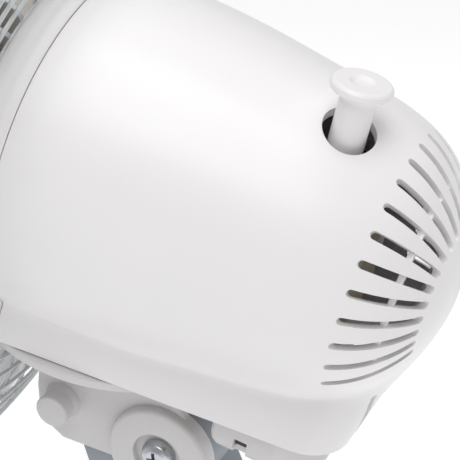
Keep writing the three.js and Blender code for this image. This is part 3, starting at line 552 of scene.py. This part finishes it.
rows = [ring_row(cover_outline(WALL), -36.9), ring_row(cover_outline(0.35), -36.9),
        ring_row(cover_outline(0), -37.3)]
for k in range(7):
    turn = k / 6 * math.pi / 2
    rows.append(ring_row(cover_outline(2.4 * (1 - math.cos(turn))), -46.4 - 2.4 * math.sin(turn)))
collar_profile = [(44, -48.8), (42.5, -49.4), (27, -49.4), (25.3, -50.2), (25, -51.4), (25, -57.2),
                  (24.6, -57.7), (20.4, -57.7), (20, -57.2), (20, -46.6), (44, -46.6)]
rows.append(ring_row(cover_outline(6), -48.8))
rows += [round_row(radius, y) for radius, y in collar_profile]
rows += [ring_row(cover_outline(5), -46.4), ring_row(cover_outline(WALL), -45)]
front_cover = mesh_of("front_cover_shape", grid(rows, close_rows=True), HEAD)
piece("front_cover_shape", front_cover, "head", "white_plastic")

# ---- bottom plate, gear cover ----
SWIVEL_Y = -18.4
plate_profile = fillet([(17.9, -55.5), (47, -55.5), (47, -52), (17.9, -52)], [0.3, 1.3, 0.5, 0.3],
                       closed=True)
plate = mesh_of("bottom_plate_shape", moved(turned(plate_profile, closed=True, segments=144), y=SWIVEL_Y),
                HEAD)
chop = mesh_of("chop", moved(slab(rectangle(140, 60, 1), -70, -40), y=-48.3 - 30), HEAD)
piece("bottom_plate_shape", carved(plate, chop), "head", "off_white_plastic")


def cover_row(draw, z):
    """The gear cover's outline, drawn in, at one height."""
    wide, front, rear = 31 - draw, 35 + draw, 71 - draw
    corners = [(-wide, front), (wide, front), (wide, 58), (20 - 0.5 * draw, rear), (0.5 * draw - 20, rear),
               (-wide, 58)]
    flat = np.asarray(fillet(corners, [max(r - 0.4 * draw, 0.5) for r in (2.5, 2.5, 6, 4, 4, 6)],
                             closed=True))
    return np.stack((*flat.T, np.full(len(flat), float(z))), axis=1)


cover_rows = [(0, -51.8), (0, -62), (0.5, -64.2), (1.6, -66), (3, -66.8), (4.2, -67)]
inner_rows = [(5, -65), (3.6, -64.8), (2.4, -63.6), (2, -62), (2, -51.8)]
shell = grid([cover_row(d, z) for d, z in cover_rows], cap_end=True)
inside = grid([cover_row(d, z) for d, z in inner_rows], cap_start=True)
n, m = len(cover_row(0, 0)), len(shell[0])
lip = [(i, (i + 1) % n, m + 4 * n + (i + 1) % n, m + 4 * n + i) for i in range(n)]
points, faces = merged(shell, inside)
gear_cover = mesh_of("gear_cover_shape", (points, faces + lip), HEAD)
notch = mesh_of("notch", moved(slab(rectangle(6, 4.5, 0.8), -72, -60, edge=0.01), 30, 45.8), HEAD)
piece("gear_cover_shape", carved(gear_cover, notch), "head", "off_white_plastic")

# ---- tilting bracket and its screw ----
TILT_Y, TILT_Z = 17, -90


def arc_points(cx, cy, radius, start, end, steps):
    return [(cx + radius * math.cos(a), cy + radius * math.sin(a)) for a in np.linspace(start, end, steps)]


cheek = fillet([(-34, -56), (-32, -86), (-29, -99), (-19, -103.4)], [0, 12, 8, 0], steps=8)
cheek += arc_points(TILT_Y, TILT_Z, 18.5, math.pi * 1.2, math.pi * 2.4, 44)
cheek += [(17.5, -66.5), (13, -60.5), (10.8, -57.8), (10, -56)]
cheek = evenly(np.array([*cheek, cheek[0]]), 181)[:-1]
lug = fillet([(0, 15.2), (18.5, 15.2), (18.5, 22), (8.8, 22), (8.8, 19.4), (0, 19.4)],
             [0, 0.5, 1.8, 0.5, 0.4, 0])
stub = fillet([(0, 17), (7.6, 17), (6.6, 20), (5.8, 21.5), (6, 27), (0, 27)], [0, 0, 1, 2, 0.9, 0])
skins = []
for side in (-1, 1):
    low, high = sorted((side * 15.2, side * 19))
    skins.append(slab(cheek, low, high, "x", edge=0.8))
    mirrored = [(r, side * h) for r, h in lug]
    skins.append(moved(turned(mirrored, "x", 96), y=TILT_Y, z=TILT_Z))
skins.append(moved(turned(stub, "x", 64), y=-21.5, z=-87.5))
boss = fillet([(7.5, -57.5), (17.4, -57.5), (17.4, -52), (7.5, -52)], [0.3, 0.8, 0.5, 0.3], closed=True)
sleeve = fillet([(7.5, -92), (12.5, -92), (12.5, -53), (7.5, -53)], [0.4, 0.8, 0.3, 0.3], closed=True)
skins += [moved(turned(p, closed=True), y=SWIVEL_Y) for p in (boss, sleeve)]
skins.append(moved(slab(rectangle(32, 8, 0.8), -89, -56), y=SWIVEL_Y))
peg = fillet([(0, -53), (2, -53), (2, -49.8), (0, -49.8)], [0, 0, 0.4, 0])
skins.append(moved(turned(peg, segments=32), 14, SWIVEL_Y))
bracket = mesh_of("tilt_bracket_shape", merged(*skins), HEAD)
piece("tilt_bracket_shape", bracket, "bracket", "off_white_plastic", smoothing=False)

screw_profile = [(0, -26), (2.6, -26), (3, -25.5), (3, 19.7), (6, 19.7), (6, 20.9), (5.1, 22.8),
                 (3, 23.8), (0, 24.1)]
screw = fillet(screw_profile, [0, 0, 0, 0, 0.3, 1.2, 1.4, 4, 0])
screw_mesh = mesh_of("tilt_screw_shape", moved(turned(screw, "x", 64), y=TILT_Y, z=TILT_Z), HEAD)
blades = []
for quarter in (0, 1):
    flat = rectangle(6.6, 1.3, 0.3)
    tip_row = rectangle(2.6, 1.0, 0.3)
    rows = [np.stack((np.full(len(f), x), *np.asarray(f).T), axis=1)
            for f, x in ((tip_row, 21.2), (flat, 24.6))]
    skin = grid(rows, cap_start=True, cap_end=True)
    blades.append(moved(turned_by(skin, 90 * quarter + 20, "X"), y=TILT_Y, z=TILT_Z))
crosses = [mesh_of("cross", b, HEAD) for b in blades]
piece("tilt_screw_shape", carved(screw_mesh, *crosses), "bracket", "zinc_steel")

# ---- knob ----
knob_profile = [(0, 17), (5.3, 17), (5.3, 57.6), (8.6, 58.6), (9, 59.4), (9, 60.6), (8.2, 61.5),
                (3.9, 61.5), (2.6, 60.8), (0, 60.4)]
knob = fillet(knob_profile, [0, 0.4, 2.6, 0.5, 0.4, 0.8, 0.9, 1.2, 2, 0])
knob_mesh = mesh_of("oscillation_knob_shape", moved(turned(knob), KNOB_X, KNOB_Y), HEAD)
piece("oscillation_knob_shape", knob_mesh, "knob", "white_plastic")

# ---- guards ----
WIRES, WIRE_RADIUS = 48, 0.7
REAR_WIRE = [(-51.6, 44), (-51, 58), (-47, 84), (-47, 99), (-54, 119), (-67, 146), (-79, 163), (-86, 171)]
FRONT_WIRE = [(-153, 40), (-151, 80), (-144, 120), (-131, 150), (-112, 167), (-94, 171)]


def rear_twist(r):
    """Degrees by which a wire has swept sideways at a radius."""
    return np.clip((r - 44) * 0.32, 0, 11)


def front_twist(r):
    return (r - 40) * 0.09


def guard(outline, ring_radii, hub, twist):
    """Wires along an outline of (along, radius), rings over them and the plate that holds them."""
    path = spline(outline, 60)
    skins = [hub]
    for i in range(WIRES):
        angle = 2 * math.pi * (i + 0.5) / WIRES + np.radians(twist(path[:, 1]))
        wire = np.stack((path[:, 1] * np.sin(angle), path[:, 0], path[:, 1] * np.cos(angle)), axis=1)
        middle = angle[len(angle) // 2]
        skins.append(tube(wire, WIRE_RADIUS, 8, side=(math.cos(middle), 0, -math.sin(middle))))
    for r, gauge, lift in ring_radii:
        y = float(np.interp(r, path[:, 1], path[:, 0])) + lift
        section = arc_points(r, y, gauge, 0, 2 * math.pi, 9)[:-1]
        skins.append(turned(section, "y", 144, closed=True))
    return merged(*skins)


rear_rings = [(r, 0.7, 1.2) for r in np.arange(54.7, 112, 7.1)] + [(134, 0.9, 1.3), (171, 2, 0)]
rear_hub = turned(fillet([(26, -52.4), (46, -52.4), (46, -50.6), (26, -50.6)], 0.6, closed=True), "y", 128,
                  closed=True)
rear_guard = mesh_of("rear_guard_shape", guard(REAR_WIRE, rear_rings, rear_hub, rear_twist), HEAD, 50)
piece("rear_guard_shape", rear_guard, "head", "white_wire", smoothing=False)
front_rings = [(r, 0.95, 1.4) for r in (58, 82, 106, 130, 152)] + [(171, 2, 0)]
front_hub = turned(fillet([(30, -154), (43, -154), (43, -152), (30, -152)], 0.6, closed=True), "y", 128,
                   closed=True)
front_guard = mesh_of("front_guard_shape", guard(FRONT_WIRE, front_rings, front_hub, front_twist), HEAD, 50)
piece("front_guard_shape", front_guard, "head", "white_wire", smoothing=False)
band = fillet([(173.2, -98), (176.4, -98), (177.4, -95), (177.4, -85), (176.4, -82), (173.2, -82)], 0.8,
              closed=True)
rim = mesh_of("guard_rim_shape", turned(band, "y", 192, closed=True), HEAD)
piece("guard_rim_shape", rim, "head", "white_plastic")
nut = fillet([(25.4, -58.4), (35.5, -58.4), (39.5, -56.4), (40, -55), (40, -53), (25.4, -53)], 0.7,
             closed=True)
nut_skin = turned(nut, "y", 144, closed=True)
far = np.hypot(nut_skin[0][:, 0], nut_skin[0][:, 2])
ripple = np.where(far > 36, 0.35 * np.cos(24 * np.arctan2(nut_skin[0][:, 0], nut_skin[0][:, 2])) - 0.35, 0)
nut_skin[0][:, [0, 2]] *= (1 + ripple / np.maximum(far, 1))[:, None]
piece("guard_nut_shape", mesh_of("guard_nut_shape", nut_skin, HEAD), "head", "off_white_plastic")
badge = fillet([(0, -154.4), (41, -154.4), (41, -156), (36, -157.6), (30, -158.6), (0, -160)],
               [0, 0.4, 0.8, 8, 12, 0])
badge_mesh = mesh_of("guard_badge_shape", turned(badge, "y", 128), HEAD)
piece("guard_badge_shape", badge_mesh, "head", "white_plastic")

# ---- blade ----
PADDLE_ROOT, PADDLE_LENGTH, PADDLE_THICK = 30, 118, 1.8
PADDLE_ALONG, PADDLE_ACROSS = 44, 26
BLADE_REST = 45  # degrees, of the first of three


def paddle():
    """One blade, from the hub outwards, thinner towards its edges."""
    sheets = []
    for face in (-0.5, 0.5):
        rows = []
        for along in np.linspace(0, 1, PADDLE_ALONG):
            across = np.linspace(-0.5, 0.5, PADDLE_ACROSS)
            radius = PADDLE_ROOT + PADDLE_LENGTH * along
            rounding = np.sqrt(np.maximum(0, 1 - (2 * across) ** 2 * 0.55 * along**6))
            reach = PADDLE_ROOT + (radius - PADDLE_ROOT) * (1 - (1 - rounding) * 0.35)
            sweep = (28 + 34 * math.sin(math.pi * min(1, along * 0.62 + 0.12))) * across
            angle = np.radians(sweep + 14 * along)
            thin = 1 - 0.75 * np.maximum(np.abs(2 * across) ** 8, along**14)
            depth = -across * math.tan(math.radians(38 - 16 * along)) * 46 + 5 * (2 * across) ** 2 - 100
            depth = depth + face * PADDLE_THICK * thin
            rows.append(np.stack((reach * np.sin(angle), depth, reach * np.cos(angle)), axis=1))
        sheets.append(rows)
    lower, upper = sheets
    loops = [np.concatenate((a, b[::-1])) for a, b in zip(lower, upper)]
    return grid(loops, cap_start=True, cap_end=True)


hub_profile = [(4.3, -116), (22, -116), (31, -112), (34, -106), (34, -82), (32, -82), (32, -105),
               (26, -112), (10, -112.5), (10, -90), (4.3, -90)]
hub = fillet(hub_profile, [0.3, 10, 8, 6, 0.6, 0.6, 5, 6, 2, 0.8, 0.3], closed=True)
vane = paddle()
blade = merged(turned(hub, "y", 128, closed=True),
               *[turned_by(vane, BLADE_REST + 120 * i) for i in range(3)])
blade_mesh = mesh_of("fan_blade_shape", blade, HEAD, 45)
piece("fan_blade_shape", blade_mesh, "rotor", "blade_plastic", smoothing=False)
spinner_profile = [(0, -132), (8, -131), (14, -126), (16, -116.3), (4.3, -116.3), (4.3, -128.3),
                   (0, -128.3)]
spinner = fillet(spinner_profile, [0, 8, 6, 0.6, 0.4, 0.4, 0])
piece("blade_nut_shape", mesh_of("blade_nut_shape", turned(spinner, "y"), HEAD), "rotor", "blade_plastic")

# ---- base ----
NECK_Y = 36.5
INLET_Z = 14
PANEL_Y = -66
ROUND = 144  # points round the base
outline = [(r, z) for r, z in spline([(118, 4), (117, 13), (107, 26), (85, 36), (50, 42), (0, 44)], 60)]
outline[-1] = np.array((0, 44))
under = [(max(r - 3, 0), z - 3 if r < 112 else z * 0.85) for r, z in outline]
under[-1] = (0, 41)
profile = [*outline[:-1], (0.5, 44), (0.5, 41), *under[-2::-1], (115, 4), (117.4, 3.6)]
turns = np.linspace(0, 2 * math.pi, ROUND + 1)[:-1]
rows = [np.stack((r * np.cos(turns), r * np.sin(turns), np.full(ROUND, float(z))), axis=1)
        for r, z in profile]
shell = grid(rows, close_rows=True)
base = mesh_of("base_shell_shape", shell, BASE)
panel_hole = mesh_of("hole", moved(slab(rectangle(112.6, 34.6, 3), 10, 60, edge=0.01), y=PANEL_Y), BASE)
angles = np.linspace(0, 2 * math.pi, 97)[:-1]
neck_plan = np.stack((35.4 * np.cos(angles), NECK_Y + 40 * np.sin(angles)), axis=1)
neck_hole = mesh_of("hole", slab(neck_plan, 20, 60, edge=0.01), BASE)
inlet_hole = mesh_of("hole", moved(turned([(7, 100), (7, 130)], "y", 48), z=INLET_Z), BASE)
piece("base_shell_shape", carved(base, panel_hole, neck_hole, inlet_hole), "base", "white_plastic")

levels = spline([(30, 36, 40), (44, 33, 38), (70, 27, 32), (120, 25, 29.5), (158, 25, 29)], 60)
turns = np.linspace(0, math.pi / 2, 14)[1:]
dome = [(158 + 20 * math.sin(a), 14.5 + 10.5 * math.cos(a), 27 + 2 * math.cos(a)) for a in turns]
rows = [np.stack((hx * np.cos(angles), NECK_Y + hy * np.sin(angles), np.full(96, z)), axis=1)
        for z, hx, hy in [*levels, *dome]]
neck = grid(rows, cap_start=True, cap_end=True)
tongue = fillet([(-27, -40), (-30.5, -18), (-33.2, -9), (-31, -5.5), (-17.5, -5.5)], [0, 8, 4, 3, 0],
                steps=8)
tongue += arc_points(0, 0, 17.5, math.pi * 1.1, -math.pi * 0.25, 60)
tongue += [(24, -40)]
tongue = evenly(np.array([*tongue, tongue[0]]), 201)[:-1]
tongue_skin = moved(slab(tongue, -14.6, 14.6, "x", edge=0.9), y=NECK_Y, z=200)
neck_mesh = mesh_of("neck_column_shape", merged(neck, tongue_skin), BASE)
piece("neck_column_shape", neck_mesh, "base", "grey_blue_plastic", smoothing=False)

panel_skin = slab(rectangle(112, 34, 5), 20, 47, edge=1.6, steps=5)
panel = mesh_of("control_panel_shape", moved(panel_skin, y=PANEL_Y), BASE)
BUTTONS = {"off": -37.5, "low": -12.5, "medium": 12.5, "high": 37.5}
wells = [mesh_of("well", moved(slab(rectangle(18.8, 15.8, 1.6), 19, 48, edge=0.01), x, PANEL_Y), BASE)
         for x in BUTTONS.values()]
piece("control_panel_shape", carved(panel, *wells), "base", "grey_blue_plastic")
for label, x in BUTTONS.items():
    rows = []
    for z, draw in ((27, 0.2), (27.2, 0), (49.5, 0), (51.2, 0.5), (52.3, 1.3), (52.9, 2.6), (53, 3.6)):
        flat = np.asarray(rectangle(18 - 2 * draw, 15 - 2 * draw, max(1.4 - 0.25 * draw, 0.5)))
        lean = np.clip((z - 49) / 4, 0, 1) * (flat[:, 1] - 7.5) * 0.1
        rows.append(np.stack((flat[:, 0] + x, flat[:, 1] + PANEL_Y, z + lean), axis=1))
    cap = mesh_of(f"button_{label}_shape", grid(rows, cap_start=True, cap_end=True), BASE)
    piece(f"button_{label}_shape", cap, f"button_{label}", "button_plastic")

inlet = fillet([(3.6, 106), (6.6, 106), (6.6, 118.6), (9, 118.6), (8.4, 121), (3.6, 121)], 0.5, closed=True)
inlet_mesh = mesh_of("cord_inlet_shape", moved(turned(inlet, "y", 64, closed=True), z=INLET_Z), BASE)
piece("cord_inlet_shape", inlet_mesh, "base", "grey_blue_plastic")
for i, (x, y) in enumerate(((-66, -66), (66, -66), (66, 66), (-66, 66))):
    profile = fillet([(0, 0), (8.2, 0), (9, 0.9), (9, 2.7), (0, 2.7)], [0, 0.6, 0.4, 0.3, 0])
    foot = mesh_of(f"foot_{i + 1}_shape", moved(turned(profile, segments=48), x, y), BASE)
    piece(f"foot_{i + 1}_shape", foot, "base", "black_rubber")

# ---- the frame's own nodes that stay: edges eased, finishes given ----
CARRIED = {
    "base_plate": "off_white_plastic", "counterweight": "bare_steel", "base_screw_front": "zinc_steel",
    "base_screw_rear": "zinc_steel", "switch_block": "black_plastic", "tilt_nut": "zinc_steel",
    "swivel_bush": "cream_nylon", "cover_screw_left": "zinc_steel", "cover_screw_right": "zinc_steel",
    "swivel_yoke": "cast_aluminium", "stator_core": "lamination_steel", "winding_front": "copper_wire",
    "winding_rear": "copper_wire", "end_bracket_front": "cast_aluminium",
    "end_bracket_rear": "cast_aluminium",
    "bush_front": "sintered_bronze", "bush_rear": "sintered_bronze", "capacitor": "black_plastic",
    "gearbox_housing": "cream_nylon", "gearbox_lid": "cream_nylon", "rotor_shaft": "bare_steel",
    "rotor_core": "lamination_steel", "worm": "bare_steel", "worm_wheel": "cream_nylon",
    "clutch_shaft": "bare_steel",
    "drive_pinion": "bare_steel", "crank_gear": "cream_nylon", "crank_link": "cream_nylon",
}
for name, slot in CARRIED.items():
    node = frame["nodes"][name]
    node.data.materials.clear()
    node.data.materials.append(FINISHES[slot].material)
    weld = node.modifiers.new("weld", "WELD")
    weld.merge_threshold = 1e-6
    ease = node.modifiers.new("edges", "BEVEL")
    ease.width = 0.0002
    ease.segments = 2
    ease.limit_method = "ANGLE"
    ease.angle_limit = math.radians(40)

# ---- floor and light ----
floor_finish = Finish("floor", (250, 250, 250), 0.9, drift=0.005)
floor_finish.shader.inputs["Emission Color"].default_value = (1, 1, 1, 1)
floor_finish.shader.inputs["Emission Strength"].default_value = 0.36
floor = bpy.data.objects.new("floor", bpy.data.meshes.new("floor"))
floor.data.from_pydata([(-60, -60, 0), (60, -60, 0), (60, 60, 0), (-60, 60, 0)], [], [(0, 1, 2, 3)])
scene.collection.objects.link(floor)
floor.data.materials.append(floor_finish.material)
floor.location.z = -0.0002

world = bpy.data.worlds.new("studio")
world.use_nodes = True
world.node_tree.nodes["Background"].inputs["Color"].default_value = (1, 1, 1, 1)
world.node_tree.nodes["Background"].inputs["Strength"].default_value = 0.35
scene.world = world


def soft_light(name, place, target, width, depth, power):
    lamp = bpy.data.objects.new(name, bpy.data.lights.new(name, "AREA"))
    lamp.data.shape = "RECTANGLE"
    lamp.data.size, lamp.data.size_y = width, depth
    lamp.data.energy = power
    lamp.location = place
    lamp.rotation_euler = (Vector(target) - Vector(place)).to_track_quat("-Z", "Y").to_euler()
    scene.collection.objects.link(lamp)


soft_light("overhead", (-0.4, 0.3, 1.9), (0, 0.05, 0.25), 1.4, 1.4, 7)
soft_light("strip", (0.6, 0.1, 1.75), (0, 0.05, 0.3), 0.9, 1.5, 14.5)
